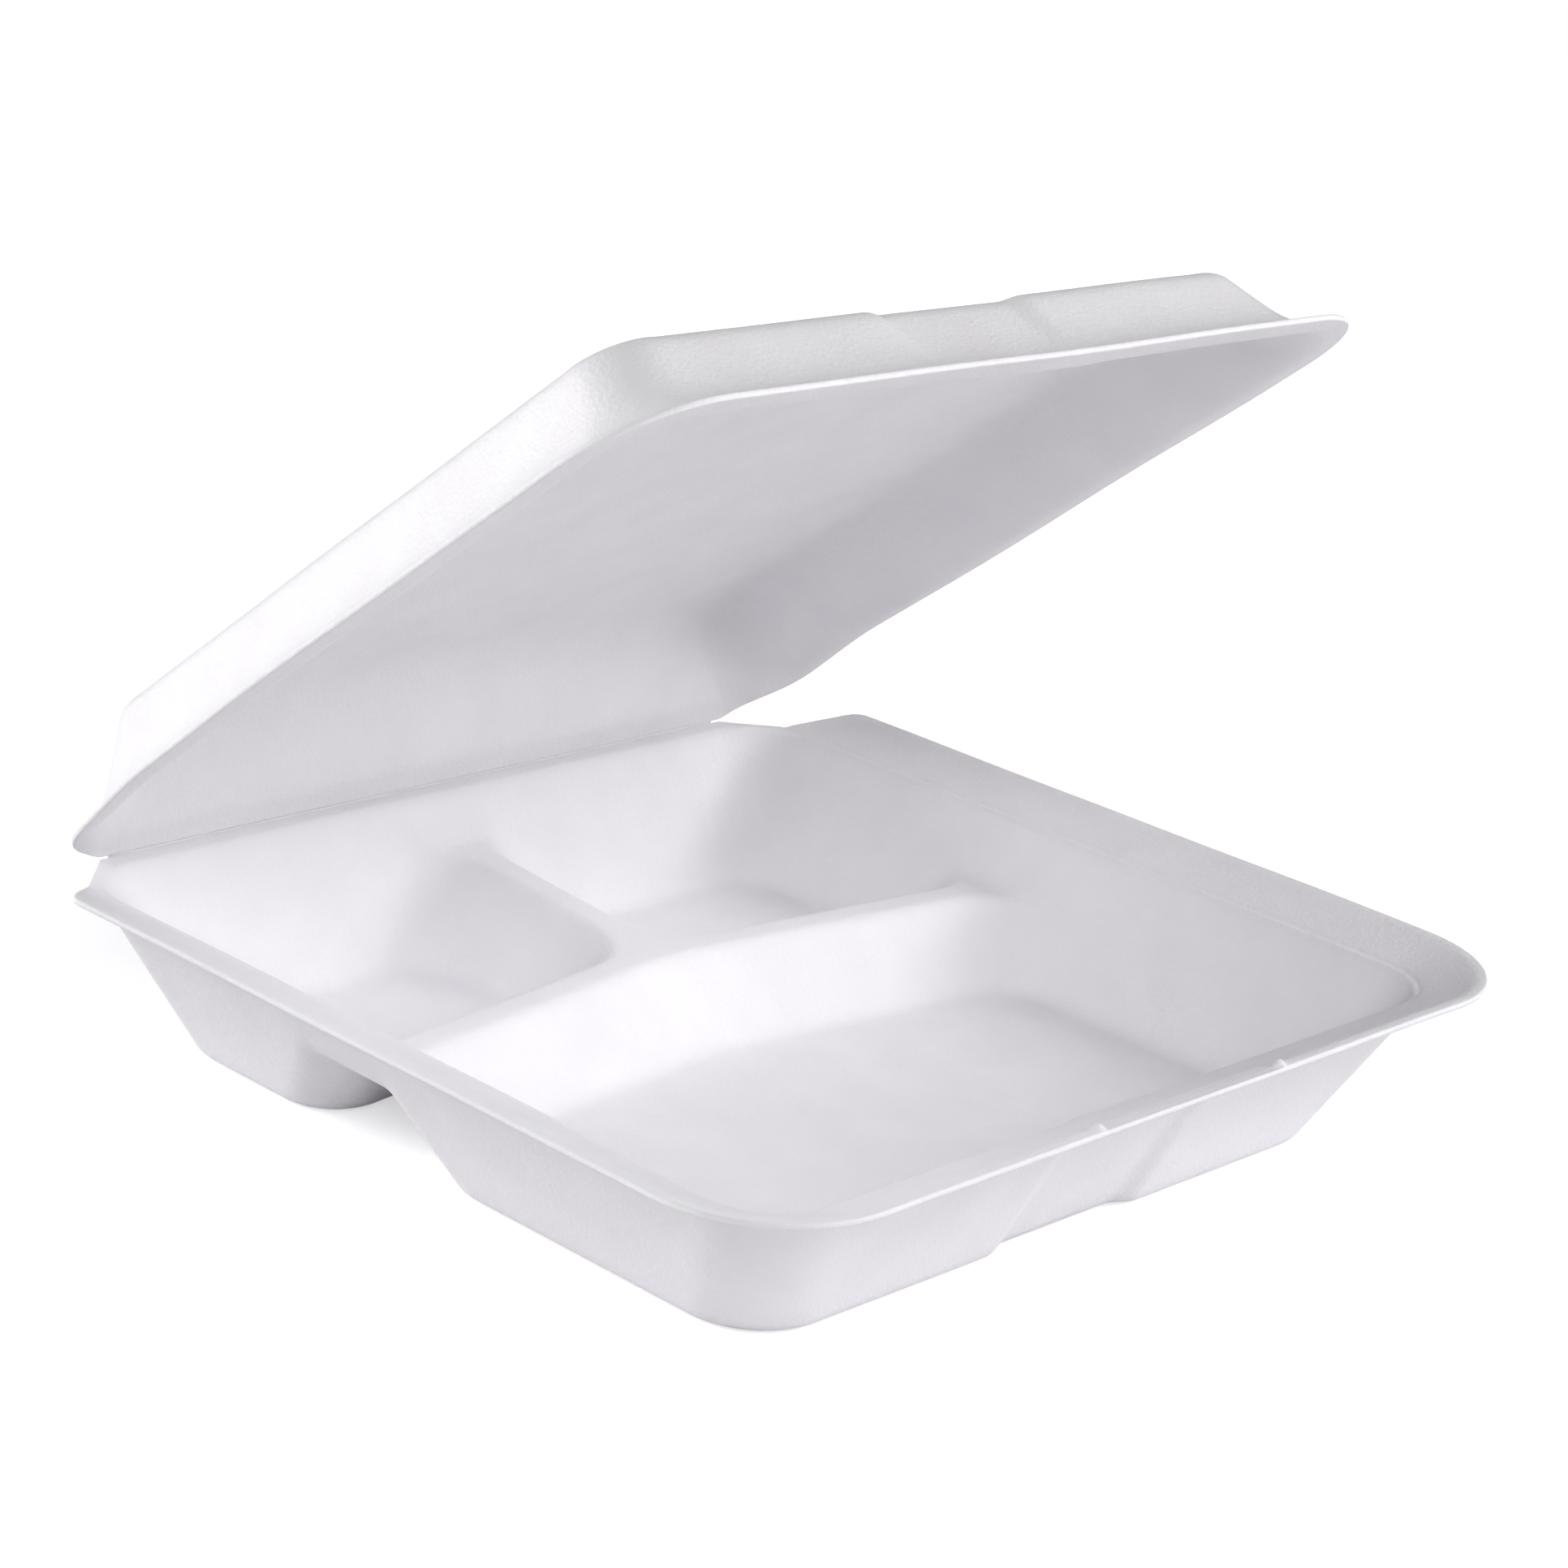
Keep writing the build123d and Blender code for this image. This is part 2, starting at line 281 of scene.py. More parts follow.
def tray_well(skin, ridge_reach, foot_round):
    """The three portions and the ridges between them, as the upper face (no skin) or the underside."""
    wall_out = skin * wall_skin / sheet
    ridge_out = skin * ridge_skin / sheet
    face_out = skin * face_skin / sheet

    def side(x, y):
        return (np.abs(x) - foot_x - wall_out) / wall_run

    def front(x, y):
        fade = (recess_low - recess_high) / deck_z
        edge = foot_front - wall_out + recess_low * recessed(x)
        return (edge - y) / (wall_run + fade * recessed(x))

    def back(x, y):
        return (y - foot_back - wall_out) / wall_run

    def ridge_front(x, y):
        foot = main_ridge_back - 2 * half_ridge - chevron(x) - face_run * ridge_z + face_out
        return (y - foot) / face_run

    def ridge_rear(x, y):
        foot = main_ridge_back - chevron(x) + ridge_run * ridge_z - ridge_out
        return (foot - y) / ridge_run

    def short_side(x, y):
        foot = half_ridge - ridge_out + ridge_run * (ridge_z + climb * (y - climb_start))
        return (foot - np.abs(x)) / ridge_run

    def ridge_top(x, y):
        past = y - climb_start
        return ridge_z - skin + climb * (past + np.sqrt(past**2 + half_ridge**2)) / 2

    outer_corner = wall_corner + wall_out
    front_walls = cornered(side, front, wall_run, wall_run, outer_corner)
    back_walls = cornered(side, back, wall_run, wall_run, outer_corner)
    all_walls = cornered(front_walls, back, wall_run, wall_run, outer_corner)
    large = cornered(front_walls, ridge_front, wall_run, face_run, large_corner + skin)
    small = cornered(back_walls, ridge_rear, wall_run, ridge_run, small_corner + skin)
    small = cornered(small, short_side, wall_run, ridge_run, small_corner + skin)
    floor = sheet - skin
    rooms = lowest(floored(large, floor, foot_round), floored(small, floor, foot_round))
    return lower(rooms, higher(ridge_top, all_walls, half_ridge), ridge_reach)


def tray_rim(skin, crest_reach, valley_reach):
    """The level from which the flare rises, the flare and the lip."""
    def flare(x, y):
        return deck_z - skin + (deck_inset - rim_inset(x, y)) * flare_rise / flare_run
    return lower(higher(flare, level(deck_z - skin), valley_reach), level(rim_z - skin), crest_reach)


rim_above = tray_rim(0, lip_round, flare_round)
rim_below = tray_rim(sheet, under_lip_round, under_flare_round)
well_above = tray_well(0, ridge_round, floor_round)
well_below = tray_well(sheet, under_ridge_round, under_round)
tray_top = lower(rim_above, well_above, crest_round)
tray_under = lower(rim_below, well_below, under_crest_round)
spot_x, spot_y = np.array([0.0, 0.0, 50.0, 110.0]), np.array([0.0, 33.5, 65.0, 0.0])
print("top", tray_top(spot_x, spot_y).round(2), "under", tray_under(spot_x, spot_y).round(2))

# %% [markdown]
# ## Laying out the plan
#
# The heights need a net of places that is fine where the sheet bends and coarse where it is flat. The inside
# is a grid whose lines crowd together along the floor rounds and the ridges. Around it lies a collar of rings
# that run from the grid's edge out to the cut edge of the sheet, so that the lines along the lip follow it
# round the corners. The grid's own corners are turned into arcs, by the same map that turns a square into a
# disc, and then the collar fits them without a seam.

# %% Helpers for the plan


def steps(*stretches):
    """Places along a line from (start, 0), each next stretch given by its end and its rough spacing."""
    places = [stretches[0][0]]
    for end, spacing in stretches[1:]:
        count = max(1, round((end - places[-1]) / spacing))
        places += list(np.linspace(places[-1], end, count + 1)[1:])
    return np.array(places)


def mirrored(half):
    """Places on both sides of the middle."""
    return np.concatenate([-half[:0:-1], half])


def rounded_path(corners, radii, spacing):
    """A path through corners, each turned by an arc of its own radius."""
    points = [np.array(corners[0], float)]
    for before, at, after, radius in zip(corners, corners[1:], corners[2:], radii):
        before, at, after = (np.array(each, float) for each in (before, at, after))
        ahead, behind = after - at, before - at
        ahead, behind = ahead / np.linalg.norm(ahead), behind / np.linalg.norm(behind)
        half_turn = (pi - np.arccos(np.clip(ahead @ behind, -1, 1))) / 2
        if radius == 0:
            points.append(at)
            continue
        start, end = at + behind * radius * tan(half_turn), at + ahead * radius * tan(half_turn)
        middle = (ahead + behind) / np.linalg.norm(ahead + behind)
        centre = at + middle * radius / cos(half_turn)
        turn = 2 * half_turn
        for share in np.linspace(0, 1, max(2, round(turn * radius / spacing)) + 1):
            spoke = sin((1 - share) * turn) * (start - centre) + sin(share * turn) * (end - centre)
            points.append(centre + spoke / sin(turn))
    return np.array(points + [np.array(corners[-1], float)])


def lengths(points):
    """How far along a path each of its points lies."""
    return np.concatenate([[0], np.cumsum(np.hypot(*np.diff(points, axis=0).T))])


def turned_corner(x, y, centre_x, centre_y, radius, toward):
    """Moves the places in one corner square of a grid so that the square's two outer sides become an arc."""
    across, out = np.abs(x) - centre_x, toward * (y - centre_y)
    inside = (across > 0) & (out > 0)
    reach = np.maximum(across, out)
    turn = pi / 4 * np.minimum(across, out) / np.maximum(reach, tiny)
    wide = across >= out
    new_x = np.where(wide, reach * np.cos(turn), reach * np.sin(turn))
    new_y = np.where(wide, reach * np.sin(turn), reach * np.cos(turn))
    x = np.where(inside, np.sign(x) * (centre_x + new_x), x)
    y = np.where(inside, centre_y + toward * new_y, y)
    return x, y


# %% [markdown]
# The plan is put together by one function. It takes the grid, the cut edge as a path from the middle of the
# front to the middle of the back, and pairs of places that belong together on the grid's edge and on the cut
# edge. It gives the places, the four-sided faces between them, the row of places on the cut edge, and how
# far each place lies from that edge.

# %% Build a plan


def lay_plan(grid_x, grid_y, edge_path, grid_marks, edge_marks, collar_shares):
    """Places, faces, the cut edge's places, and each place's distance from the cut edge."""
    rows, columns = grid_x.shape
    number = np.arange(rows * columns).reshape(rows, columns)
    middle = columns // 2
    # The grid's edge is walked from the middle of the front, up the right side and back down the left one.
    right = list(number[0, middle:]) + list(number[1:, -1]) + list(number[-1, middle:-1][::-1])
    left = list(number[-1, 1:middle][::-1]) + list(number[1:, 0][::-1]) + list(number[0, :middle])
    places = np.stack([grid_x.ravel(), grid_y.ravel()], axis=1)
    # Each place on the right half gets its partner on the cut edge, and the left half is its mirror image.
    inner = places[right]
    along = np.interp(lengths(inner), grid_marks, edge_marks)
    edge_lengths = lengths(edge_path)
    outer = np.stack([np.interp(along, edge_lengths, edge_path[:, k]) for k in (0, 1)], axis=1)
    other = outer[1:-1][::-1] * [-1, 1]
    loop = np.array(right + left)
    outer = np.concatenate([outer, other])
    inner = places[loop]
    faces = []
    for j in range(rows - 1):
        for i in range(columns - 1):
            faces.append((number[j, i], number[j, i + 1], number[j + 1, i + 1], number[j + 1, i]))
    # The rings of the collar lie between the partners, each joined to the one before.
    distance = [np.full(len(places), np.linalg.norm(outer - inner, axis=1).min())]
    stacked = [places]
    previous, total = loop, len(places)
    after = np.roll(np.arange(len(loop)), -1)
    for share in collar_shares:
        stacked.append(inner + (outer - inner) * share)
        distance.append(np.linalg.norm(outer - inner, axis=1) * (1 - share))
        current = total + np.arange(len(loop))
        faces += list(zip(previous, current, current[after], previous[after]))
        previous, total = current, total + len(loop)
    return np.concatenate(stacked), faces, previous, np.concatenate(distance)


# %% [markdown]
# ## The tray's plan
#
# The grid's rows bend with the chevron of the main divider, so that a row lies along each edge of the ridge,
# and straighten again towards the front and the back. Its corners are turned into arcs last.

# %% The tray's grid
crease_gap, half_hinge = 0.3, 90.0
collar, back_collar = 20.0, 14.0
grid_half = half_rim - collar
grid_front = -hinge_y + collar
grid_back = hinge_y - back_collar
grid_corner = rim_corner - collar
back_corner = 8.0
side_mark = 80.0

# Each pair is where a stretch of lines ends and how far apart its lines lie.
nub_x = 27.0
columns = mirrored(steps(
    (0, 0), (14, 1.1), (23, 1.1), (25, 1.0), (29, 0.5), (42, 1.6), (62, 2.8), (76, 1.5), (side_mark, 0.8),
    (grid_half - grid_corner, 0.8), (grid_half, 0.7),
))
row_lines = steps(
    (grid_front, 0), (grid_front + grid_corner, 0.7), (-64, 1.1), (-52, 2.0), (0, 2.8), (12, 1.5), (56, 0.95),
    (66, 1.6), (76, 1.4), (side_mark, 0.9), (grid_back - back_corner, 0.9), (grid_back, 0.7),
)
grid_x, grid_y = np.meshgrid(columns, row_lines)
bend_front, bend_front_length = -58.0, 50.0
bend_back, bend_back_length = 78.0, 22.0
bend = eased((grid_y - bend_front) / bend_front_length) * eased((bend_back - grid_y) / bend_back_length)
grid_y = grid_y - chevron(grid_x) * bend
grid_x, grid_y = turned_corner(
    grid_x, grid_y, grid_half - grid_corner, grid_front + grid_corner, grid_corner, -1
)
grid_x, grid_y = turned_corner(
    grid_x, grid_y, grid_half - back_corner, grid_back - back_corner, back_corner, 1
)
print("tray grid", grid_x.shape[0], "rows of", grid_x.shape[1], "places")

# %% [markdown]
# The cut edge follows the rim, turns in at the two ears beside the hinge, runs through the notch and meets
# the hinge line at its end. It is longer than the grid's edge, so pairs of marks say which places belong
# together, such as the ends of the front, of the corner and of the side.

# %% The tray's cut edge and collar
ear_y = hinge_y - 24.0
notch_x, notch_y = half_rim - 11.8, hinge_y - 12.6
ear_round, notch_round, edge_spacing = 3.0, 9.0, 0.4
edge_y = hinge_y - crease_gap
tray_edge = rounded_path(
    [
        (0, -hinge_y), (half_rim, -hinge_y), (half_rim, ear_y), (notch_x, notch_y),
        (half_hinge, edge_y), (0, edge_y),
    ],
    [rim_corner, ear_round, notch_round, 0], edge_spacing,
)
quarter_turn = pi / 2
edge_lengths = lengths(tray_edge)
front_flat = half_rim - rim_corner
front_end = front_flat + quarter_turn * rim_corner
side_length = side_mark + hinge_y - rim_corner
hinge_corner = np.hypot(*(tray_edge - [half_hinge, edge_y]).T).argmin()
edge_marks = [
    0, front_flat, front_end, front_end + side_length, edge_lengths[hinge_corner], edge_lengths[-1],
]
grid_edge = np.concatenate([
    np.stack([grid_x[0, len(columns) // 2:], grid_y[0, len(columns) // 2:]], axis=1),
    np.stack([grid_x[1:, -1], grid_y[1:, -1]], axis=1),
    np.stack([grid_x[-1, len(columns) // 2:-1][::-1], grid_y[-1, len(columns) // 2:-1][::-1]], axis=1),
])
side_end = np.hypot(*(grid_edge - [grid_half, side_mark]).T).argmin()
back_start = np.hypot(*(grid_edge - [side_mark, grid_back]).T).argmin()
grid_lengths = lengths(grid_edge)
grid_marks = [
    0, front_flat, front_flat + quarter_turn * grid_corner, grid_lengths[side_end],
    grid_lengths[back_start], grid_lengths[-1],
]
# The rings' distances from the cut edge, close together where the flare starts and along the lip.
insets = [18.6, 17.6, 16.7, 15.9, 15.3, 14.8, 14.3, 13.9, 13.5, 13.1, 12.7, 12.2, 11.2, 9.8, 8.2, 6.6,
          5.2, 4.2, 3.5, 3.0, 2.6, 2.3, 2.0, 1.7, 1.4, 1.0, 0.65, 0.35, 0.15, 0]
collar_shares = [1 - inset / collar for inset in insets]
tray_plan = lay_plan(grid_x, grid_y, tray_edge, grid_marks, edge_marks, collar_shares)
print("tray plan", len(tray_plan[0]), "places", len(tray_plan[1]), "faces", len(tray_plan[2]), "on the edge")

# %% [markdown]
# ## From a plan to a sheet with two faces
#
# The sheet's cut edge is pinched thinner than the rest by the cutting tool, and its corners are slightly
# rounded. On the front lip two small nubs and a shallow groove make the latch. A very small, slow waviness
# is added to both faces alike, because pressed foam is never quite true. Then the upper and the lower face
# are joined by a strip along the cut edge, which closes the sheet. The mesh is smooth shaded, and its faces
# are small enough along every round for the outline to look round as well.

# %% Helpers for the sheet


def waviness(x, y, height):
    """A slow unevenness of the sheet, a fraction of a millimetre high."""
    waves = [(0.052, 0.021, 0.4), (-0.031, 0.067, 1.9), (0.083, -0.047, 3.1), (0.017, 0.094, 5.2)]
    total = sum(np.sin(a * x + b * y + start) for a, b, start in waves)
    return height * total / len(waves)


def edge_round(distance, radius):
    """How far a face drops towards the cut edge to round it."""
    inside = np.clip(radius - distance, 0, radius)
    return radius - np.sqrt(radius**2 - inside**2)


def new_piece(name, points, polygons):
    """A smooth piece from points in millimetres in the model's frame."""
    mesh = bpy.data.meshes.new(name)
    mesh.from_pydata((np.array(points) * mm).tolist(), [], polygons)
    mesh.polygons.foreach_set("use_smooth", [True] * len(polygons))
    mesh.update()
    piece = bpy.data.objects.new(name, mesh)
    bpy.context.scene.collection.objects.link(piece)
    print(name, len(mesh.vertices), "points", sum(len(p) - 2 for p in polygons), "triangles")
    return piece


def closed_sheet(name, plan, top, under, to_model):
    """A closed mesh from the two faces over a plan, placed in the model's frame, in metres."""
    places, faces, edge, _ = plan
    count = len(places)
    both = np.concatenate([np.column_stack([places, top]), np.column_stack([places, under])])
    polygons = [tuple(int(k) for k in face) for face in faces]
    polygons += [tuple(int(k) + count for k in face[::-1]) for face in faces]
    for first, second in zip(edge, np.roll(edge, -1)):
        polygons.append((int(first), int(first) + count, int(second) + count, int(second)))
    return new_piece(name, to_model(both), polygons)


# %% [markdown]
# ## The tray's sheet
#
# The small things are laid over the two faces here: the latch on the front lip, the fine line that the mould
# leaves along the foot of the flare, the pinched cut edge and the waviness. Beside the hinge the sheet thins
# to the pressed line, and the waviness and the pinch fade out so that the two halves meet cleanly.

# %% Shape the tray
lip_pinch, pinch_width = 1.0, 5.5
edge_radius = 0.4
pressed_line, hinge_fade = 0.9, 4.0
tray_wave = 0.25
latch_y = -hinge_y + 2.0
groove_half, groove_depth, groove_steep = 2.2, 0.3, 1.6
foot_line_half, foot_line_depth = 0.9, 0.3
nub_half, nub_height, nub_steep = 2.0, 1.2, 1.2


def latch(x, y):
    """The groove along the front lip and the nubs at its two ends."""
    along = np.clip(x, -nub_x, nub_x)
    off_groove = np.hypot(x - along, y - latch_y)
    off_nub = np.hypot(np.abs(x) - nub_x, y - latch_y)
    groove = groove_depth * eased((groove_half - off_groove) / groove_half * groove_steep)
    nub = nub_height * eased((nub_half - off_nub) / nub_half * nub_steep)
    return nub - groove


def foot_line(x, y):
    """The fine line pressed along the foot of the flare."""
    off_line = np.abs(rim_inset(x, y) - deck_inset)
    return foot_line_depth * eased((foot_line_half - off_line) / foot_line_half)


x, y = tray_plan[0].T
distance = tray_plan[3]
from_hinge = edge_y - y
near_hinge = 1 - eased(from_hinge / hinge_fade)
wave = waviness(x, y, tray_wave) * eased(tray_top(x, y) / rim_z) * (1 - near_hinge)
tray_upper = tray_top(x, y) + latch(x, y) - foot_line(x, y) + wave
tray_lower = tray_under(x, y) + wave
tray_lower += (sheet - pressed_line) * near_hinge
pinch = eased((pinch_width - distance) / pinch_width) * (1 - near_hinge)
tray_lower += lip_pinch * pinch + edge_round(distance, edge_radius) * (1 - near_hinge)
tray_upper -= edge_round(distance, edge_radius) * (1 - near_hinge)


def as_it_stands(points):
    """The tray is drawn where it stands."""
    return points


tray_sheet = closed_sheet("tray_sheet", tray_plan, tray_upper, tray_lower, as_it_stands)
print("tray thickness", round(float((tray_upper - tray_lower).min()), 2), "mm at its thinnest")

# %% [markdown]
# ## The lid
#
# The lid is the same kind of sheet turned over: a dome is a well upside down. It is drawn closed, in its own
# frame with the hinge line at the origin, and then tipped back by the angle read from the model. Its flat
# flange runs all round, and beside the hinge a short strip slopes down from the flange to the hinge line.
# At the two ears beside the hinge the flange droops a little, as thin foam does where nothing holds it.

# %% The lid's faces
lid_half, lid_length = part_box("lid")[1].x / mm, 208.5
lid_corner, ear_corner = 24.0, 22.0
ear_back = 5.5
ear_taper, taper_length, taper_round = 2.5, 85.0, 400.0
ear_droop, droop_inside, droop_width = 2.2, 6.0, 14.0
droop_start, droop_length = 45.0, 34.0
flange_w = 3.6
crown_w = 24.5
lid_run = tan(radians(22.8))
lid_skin = sheet * sqrt(1 + lid_run**2)
foot_inset, foot_back_inset = 9.0, 7.6
dome_corner = 12.0
crown_round, inner_crown_round = 5.5, 13.0
strip_run = 5.0
outer_strip_round, inner_strip_round = 2.5, 4.0
outer_foot_round, mouth_round = 5.0, 6.5


def lid_dome(skin, crown):
    """The dome as the outer face (no skin) or the inner one, with the round of its crown."""
    wall_in = skin * lid_skin / sheet
    top = crown_w - skin

    def side(x, y):
        return (np.abs(x) - lid_half + foot_inset + wall_in) / lid_run

    def front(x, y):
        grow = (recess_low - recess_high) / (crown_w - flange_w)
        edge = -lid_length + foot_inset + wall_in + recess_high * recessed(x)
        return (edge - y) / (lid_run + grow * recessed(x))

    def back(x, y):
        return (y + foot_back_inset + wall_in) / lid_run

    walls = cornered(side, front, lid_run, lid_run, dome_corner)
    walls = cornered(walls, back, lid_run, lid_run, dome_corner)
    cavity = floored(walls, flange_w - top, crown)

    def surface(x, y):
        return flange_w - cavity(x, y)
    return surface


def lid_flange(low, hinge_level, reach):
    """The flange, which droops at the two ears, and the strip that slopes from it to the hinge line."""
    def flange(x, y):
        outward = eased((np.abs(x) - half_hinge + droop_inside) / droop_width)
        return low - ear_droop * outward * eased((y + droop_start) / droop_length)

    def strip(x, y):
        slope = (low - hinge_level) / (strip_run - crease_gap)
        return hinge_level + slope * (-crease_gap - y)
    return lower(flange, strip, reach)


lid_outer_flange = lid_flange(flange_w + sheet, crease_gap + pressed_line, outer_strip_round)
lid_outer_face = higher(lid_outer_flange, lid_dome(0, crown_round), outer_foot_round)
lid_inner_flange = lid_flange(flange_w, crease_gap, inner_strip_round)
lid_inner_face = higher(lid_inner_flange, lid_dome(sheet, inner_crown_round), mouth_round)
spot_x, spot_y = np.array([0.0, 0.0, 104.0]), np.array([-100.0, -2.0, -100.0])
print("lid outer", lid_outer_face(spot_x, spot_y).round(2), "inner", lid_inner_face(spot_x, spot_y).round(2))

# %% [markdown]
# The lid's plan is laid as the tray's was. The dome is flat on top, so its grid is coarse, and only the
# finger recess and the corners ask for close lines.

# %% The lid's grid
lid_collar = 22.0
lid_grid_half = lid_half - lid_collar
lid_grid_front = -lid_length + lid_collar
lid_grid_back = -20.0
lid_grid_corner = 11.0
columns = mirrored(steps(
    (0, 0), (13, 2.6), (24, 0.9), (40, 3.0), (64, 4.0), (lid_grid_half - lid_grid_corner, 2.5),
    (lid_grid_half, 0.9),
))
row_lines = steps(
    (lid_grid_front, 0), (lid_grid_front + lid_grid_corner, 0.9), (-150, 3.0), (-60, 4.5),
    (lid_grid_back - lid_grid_corner, 3.0), (lid_grid_back, 0.9),
)
grid_x, grid_y = np.meshgrid(columns, row_lines)
for centre_y, toward in (
    (lid_grid_front + lid_grid_corner, -1),
    (lid_grid_back - lid_grid_corner, 1),
):
    grid_x, grid_y = turned_corner(
        grid_x, grid_y, lid_grid_half - lid_grid_corner, centre_y, lid_grid_corner, toward
    )
print("lid grid", grid_x.shape[0], "rows of", grid_x.shape[1], "places")

# %% [markdown]
# The lid's sides taper slightly over the last stretch before the hinge, and each ear is one large arc that
# ends on the hinge line. The collar holds the dome's wall, its foot and the flange, so it has many rings.

# %% The lid's cut edge and collar
hinge_end_round = 3.0
lid_edge = rounded_path(
    [
        (0, -lid_length), (lid_half, -lid_length), (lid_half, -taper_length),
        (lid_half - ear_taper, -ear_back), (half_hinge, -crease_gap), (0, -crease_gap),
    ],
    [lid_corner, taper_round, ear_corner, hinge_end_round], edge_spacing,
)
edge_lengths = lengths(lid_edge)
front_flat = lid_half - lid_corner
front_end = front_flat + quarter_turn * lid_corner
ear_arc_share = 0.72
ear_place = [lid_half - ear_taper, -ear_back - ear_corner * ear_arc_share]
ear_start = np.hypot(*(lid_edge - ear_place).T).argmin()
edge_marks = [0, front_flat, front_end, edge_lengths[ear_start], edge_lengths[-2], edge_lengths[-1]]
straight = lid_grid_half - lid_grid_corner
turned = quarter_turn * lid_grid_corner
side_straight = lid_grid_back - lid_grid_front - 2 * lid_grid_corner
grid_marks = np.cumsum([0, straight, turned, side_straight, turned, straight])
insets = [21.0, 20.2, 19.5, 18.9, 18.3, 17.7, 17.1, 16.4, 15.4, 14.0, 12.6, 11.4, 10.5, 9.8, 9.1, 8.4,
          7.7, 7.0, 6.2, 5.2, 4.2, 3.2, 2.3, 1.6, 1.0, 0.65, 0.35, 0.15, 0]
collar_shares = [1 - inset / lid_collar for inset in insets]
lid_plan = lay_plan(grid_x, grid_y, lid_edge, grid_marks, edge_marks, collar_shares)
print("lid plan", len(lid_plan[0]), "places")

# %% [markdown]
# ## The lid's sheet
#
# The lid of the real object has warped: seen from the front its right side hangs a little lower than its
# left. That is added as a slow twist, which starts from nothing at the hinge. It is kept small enough for the
# shut lid to stay clear of the tray.

# %% Shape the lid
lid_twist, twist_length = 0.8, 80.0
lid_wave, wave_shift = 0.3, 40.0
x, y = lid_plan[0].T
distance = lid_plan[3]
near_hinge = 1 - eased((-crease_gap - y) / hinge_fade)
wave = waviness(x + wave_shift, y, lid_wave) * (1 - near_hinge)
wave -= lid_twist * x / lid_half * eased(-y / twist_length)
lid_upper = lid_outer_face(x, y) + wave
lid_lower = lid_inner_face(x, y) + wave
pinch = eased((pinch_width - distance) / pinch_width) * (1 - near_hinge)
lid_upper -= lip_pinch * pinch + edge_round(distance, edge_radius) * (1 - near_hinge)
lid_lower += edge_round(distance, edge_radius) * (1 - near_hinge)


def tipped_open(points):
    """Turns the closed lid about the hinge line to the angle at which it stands open."""
    x, y, w = points.T
    model_y = hinge_y + y * cos(open_angle) + w * sin(open_angle)
    model_z = deck_z - y * sin(open_angle) + w * cos(open_angle)
    return np.stack([x, model_y, model_z], axis=1)


lid_sheet = closed_sheet("lid_sheet", lid_plan, lid_upper, lid_lower, tipped_open)
print("lid thickness", round(float((lid_upper - lid_lower).min()), 2), "mm at its thinnest")

# %% [markdown]
# ## The hinge line
#
# Between the tray and the lid the sheet is pressed to less than a millimetre, and there it folds. It is made
# as a narrow strip that starts inside the tray's edge and ends inside the lid's. Its section is drawn at the
# angle at which the lid stands open.

# %% Make the hinge strip
end_margin, station_count = 2.5, 61
crease_half = half_hinge - end_margin
bite, inner_bite_rise = 1.2, 0.7
skin_margin, knuckle = 0.12, 0.62
inner_line = [(-crease_gap - bite, -skin_margin), (-crease_gap, -skin_margin), (0.0, -skin_margin)]
outer_line = [(-crease_gap - bite, skin_margin - pressed_line), (-crease_gap, skin_margin - pressed_line)]


def lid_point(y, w):
    """A point of the lid's section, measured from the hinge line at rest."""
    return (y * cos(open_angle) + w * sin(open_angle), -y * sin(open_angle) + w * cos(open_angle))


lid_inner_w = crease_gap + skin_margin
lid_outer_w = crease_gap + pressed_line - skin_margin
section = inner_line + [
    lid_point(-crease_gap, lid_inner_w),
    lid_point(-crease_gap - bite, lid_inner_w + bite * inner_bite_rise),
    lid_point(-crease_gap - bite, lid_outer_w + bite),
    lid_point(-crease_gap, lid_outer_w),
    (knuckle, -skin_margin),
] + outer_line[::-1]
stations = np.linspace(-crease_half, crease_half, station_count)
points = [(x, hinge_y + y, deck_z + z) for x in stations for y, z in section]
around = len(section)
polygons = []
for station in range(station_count - 1):
    for k in range(around):
        a, b = station * around + k, station * around + (k + 1) % around
        polygons.append((a, a + around, b + around, b))
polygons.append(tuple(range(around)))
polygons.append(tuple(range((station_count - 1) * around, station_count * around))[::-1])
crease_strip = new_piece("crease_strip", points, polygons)

# %% [markdown]
# ## The foam
#
# The skin of expanded foam is a close net of small cells, a little under a millimetre across. From a step
# away it reads as a fine stipple. It could be carved into the mesh, but that would take millions of faces
# for something a fraction of a millimetre deep. So a cell pattern at that scale, mixed with a coarser grain,
# goes into the bump.

# %% Make the foam's stipple


def new_material(name):
    """An empty node material with its output."""
    material = bpy.data.materials.new(name)
    material.use_nodes = True
    material.node_tree.nodes.clear()
    return material, material.node_tree.nodes, material.node_tree.links


cell_size, grain_size, mottle_size = 0.9 * mm, 2.4 * mm, 16 * mm
cell_depth, grain_share = 0.2 * mm, 0.45
foam, nodes, links = new_material("foam")
output = nodes.new("ShaderNodeOutputMaterial")
shader = nodes.new("ShaderNodeBsdfPrincipled")
links.new(shader.outputs["BSDF"], output.inputs["Surface"])
place = nodes.new("ShaderNodeTexCoord")

cells = nodes.new("ShaderNodeTexVoronoi")
cells.feature = "F1"
cells.inputs["Scale"].default_value = 1 / cell_size
links.new(place.outputs["Object"], cells.inputs["Vector"])

grains = nodes.new("ShaderNodeTexNoise")
grains.inputs["Scale"].default_value = 1 / grain_size
grains.inputs["Detail"].default_value = 3.0
links.new(place.outputs["Object"], grains.inputs["Vector"])

stipple = nodes.new("ShaderNodeMix")
stipple.data_type = "FLOAT"
stipple.inputs["Factor"].default_value = grain_share
links.new(cells.outputs["Distance"], stipple.inputs["A"])
links.new(grains.outputs["Fac"], stipple.inputs["B"])

